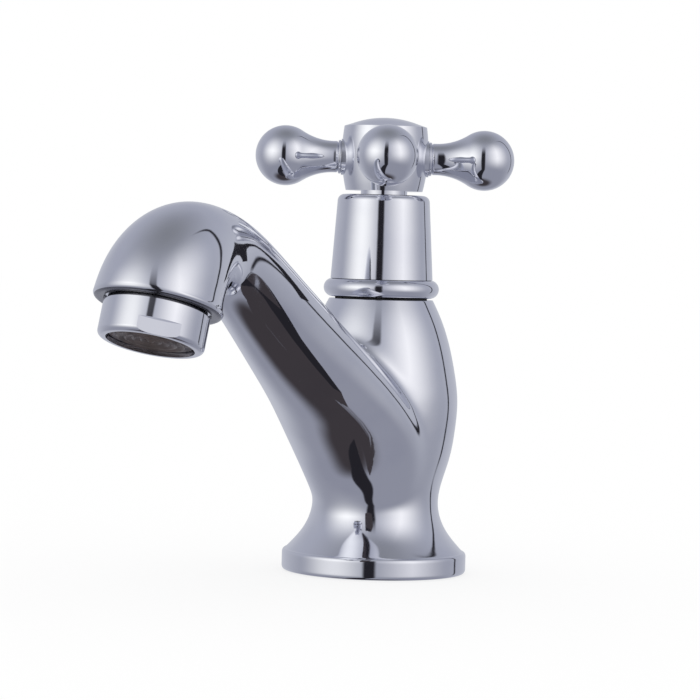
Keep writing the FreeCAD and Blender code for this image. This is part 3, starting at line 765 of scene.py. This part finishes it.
def tent_colour(m, turn, rise):
    """What polished metal mirrors: tent walls, two soft boxes, the front slit and the dark bench."""
    wall = m.mix(m.step(rise, *ROOF_RISES), WALL, ROOF)
    wall = m.mix(m.step(rise, *SKIRT_RISES), wall, SKIRT)
    behind = m.both(m.step(m.do("ABSOLUTE", turn), *BACK_TURNS), m.window(rise, *BACK_BAND))
    wall = m.mix(behind, wall, BACK_WALL)
    for centre, half, soft, height, tall, tall_soft, colour in SOFT_BOXES:
        box = m.both(m.window(turn, centre, half, soft), m.window(rise, height, tall, tall_soft))
        wall = m.mix(box, wall, colour)
    # the tent's seam climbs on the right and bends over the top
    over = m.do("MAXIMUM", m.do("SUBTRACT", rise, SEAM_BEND), 0)
    seam_turn = m.do("SUBTRACT", SEAM_TURN, m.do("MULTIPLY", SEAM_CURVE, m.do("POWER", over, 2)))
    seam = m.both(m.window(turn, seam_turn, SEAM_HALF, SEAM_SOFT), m.step(rise, *SEAM_FOOT))
    wall = m.mix(m.both(seam, m.step(rise, *SEAM_TOP)), wall, SLIT)
    swing = m.do("COSINE", m.do("RADIANS", m.do("ADD", turn, BENCH_TURN)))
    edge = m.do("ADD", BENCH_RISE, m.do("MULTIPLY", BENCH_TILT, swing))
    wall = m.mix(m.step(m.do("SUBTRACT", rise, edge), *BENCH_EDGE), wall, BENCH)
    # the slit runs down the front and bends left, wider, towards the bench
    below = m.do("MAXIMUM", m.do("SUBTRACT", SLIT_BEND, rise), 0)
    middle = m.do("SUBTRACT", SLIT_TURN, m.do("MULTIPLY", below, SLIT_LEAN))
    half = m.do("ADD", SLIT_HALF, m.do("MULTIPLY", below, SLIT_SPREAD))
    slit = m.both(m.window(turn, middle, half, SLIT_SOFT), m.step(rise, *SLIT_TOP))
    return m.mix(slit, wall, SLIT)


def light_tent():
    """World: white behind, plain light for what is matt, and the tent's walls for what is polished."""
    world = bpy.data.worlds.new("light_tent")
    bpy.context.scene.world = world
    world.use_nodes = True
    m = Maths(world.node_tree)
    walls = tent_colour(m, *tent_angles(m))
    path = m.nodes.new("ShaderNodeLightPath")
    seen = m.mix(path.outputs["Is Glossy Ray"], WHITE, walls)
    final = m.mix(path.outputs["Is Camera Ray"], seen, WHITE)
    m.links.new(final, m.nodes["Background"].inputs["Color"])


def mirrored_only(stage):
    """A card that neither the camera nor matt light meets, and that casts no shadow."""
    stage.visible_camera = False
    stage.visible_diffuse = False
    stage.visible_shadow = False


def add_stage(name, bm, material):
    mesh = bpy.data.meshes.new(name)
    bm.to_mesh(mesh)
    bm.free()
    mesh.materials.append(material)
    stage = bpy.data.objects.new(name, mesh)
    bpy.context.scene.collection.objects.link(stage)
    return stage


def dark_card_material(name, colour):
    """Flat dark colour on the card's front; its back is clear."""
    material, nodes, links = new_material(name)
    glow = nodes.new("ShaderNodeEmission")
    glow.inputs["Color"].default_value = colour + (1,)
    clear = nodes.new("ShaderNodeBsdfTransparent")
    side = nodes.new("ShaderNodeNewGeometry")
    mix = nodes.new("ShaderNodeMixShader")
    links.new(side.outputs["Backfacing"], mix.inputs[0])
    links.new(glow.outputs[0], mix.inputs[1])
    links.new(clear.outputs[0], mix.inputs[2])
    links.new(mix.outputs[0], nodes["Material Output"].inputs["Surface"])
    return material


def flat_card(corners):
    bm = bmesh.new()
    bmesh.ops.contextual_create(bm, geom=[bm.verts.new(Vector(corner) * MM) for corner in corners])
    bm.normal_update()
    return bm


def upright_card(name, card, material):
    """Card beside the spout, square to the tap's width, its dark side turned to the tap."""
    right, corners = card
    bm = flat_card([(right, -reach, height) for reach, height in corners])
    bmesh.ops.reverse_faces(bm, faces=[face for face in bm.faces if face.normal.x > 0])
    mirrored_only(add_stage(name, bm, material))


def add_dark_cards():
    """Dark cards that only the polish shows: beside the spout's underside, and a small flag by the crook."""
    brown = dark_card_material("dark_bench", BENCH)
    black = dark_card_material("black_flag", SLIT)
    upright_card("near_card", NEAR_CARD, brown)
    upright_card("edge_card", EDGE_CARD, black)
    upright_card("far_card", FAR_CARD, brown)
    bm = flat_card([(across, 0, up) for across, up in FLAG])
    bmesh.ops.rotate(bm, matrix=Matrix.Rotation(math.radians(-FLAG_FACING), 3, "Z"), verts=bm.verts)
    bmesh.ops.translate(bm, vec=Vector(FLAG_PLACE) * MM, verts=bm.verts)
    bm.normal_update()
    bmesh.ops.reverse_faces(bm, faces=[face for face in bm.faces if face.normal.y > 0])
    mirrored_only(add_stage("crook_flag", bm, black))


def add_floor():
    """White floor that the metal doesn't mirror; it keeps a share of plain shading for the shadow."""
    bm = bmesh.new()
    bmesh.ops.create_grid(bm, x_segments=1, y_segments=1, size=FLOOR_HALF)
    bmesh.ops.translate(bm, vec=(0, 0, -FLOOR_DROP * MM), verts=bm.verts)
    material, nodes, links = new_material("pale_floor")
    shader = nodes["Principled BSDF"]
    shader.inputs["Base Color"].default_value = WHITE + (1,)
    shader.inputs["Roughness"].default_value = 1.0
    shader.inputs["Specular IOR Level"].default_value = 0.0
    glow = nodes.new("ShaderNodeEmission")
    glow.inputs["Strength"].default_value = 1.0
    path = nodes.new("ShaderNodeLightPath")
    share = Maths(material.node_tree).do("MULTIPLY", path.outputs["Is Camera Ray"], FLOOR_GLOW)
    mix = nodes.new("ShaderNodeMixShader")
    links.new(share, mix.inputs[0])
    links.new(shader.outputs[0], mix.inputs[1])
    links.new(glow.outputs[0], mix.inputs[2])
    links.new(mix.outputs[0], nodes["Material Output"].inputs["Surface"])
    floor = add_stage("floor", bm, material)
    floor.visible_glossy = False


add_camera()
light_tent()
add_dark_cards()
add_floor()
bpy.context.scene.view_settings.view_transform = "Standard"
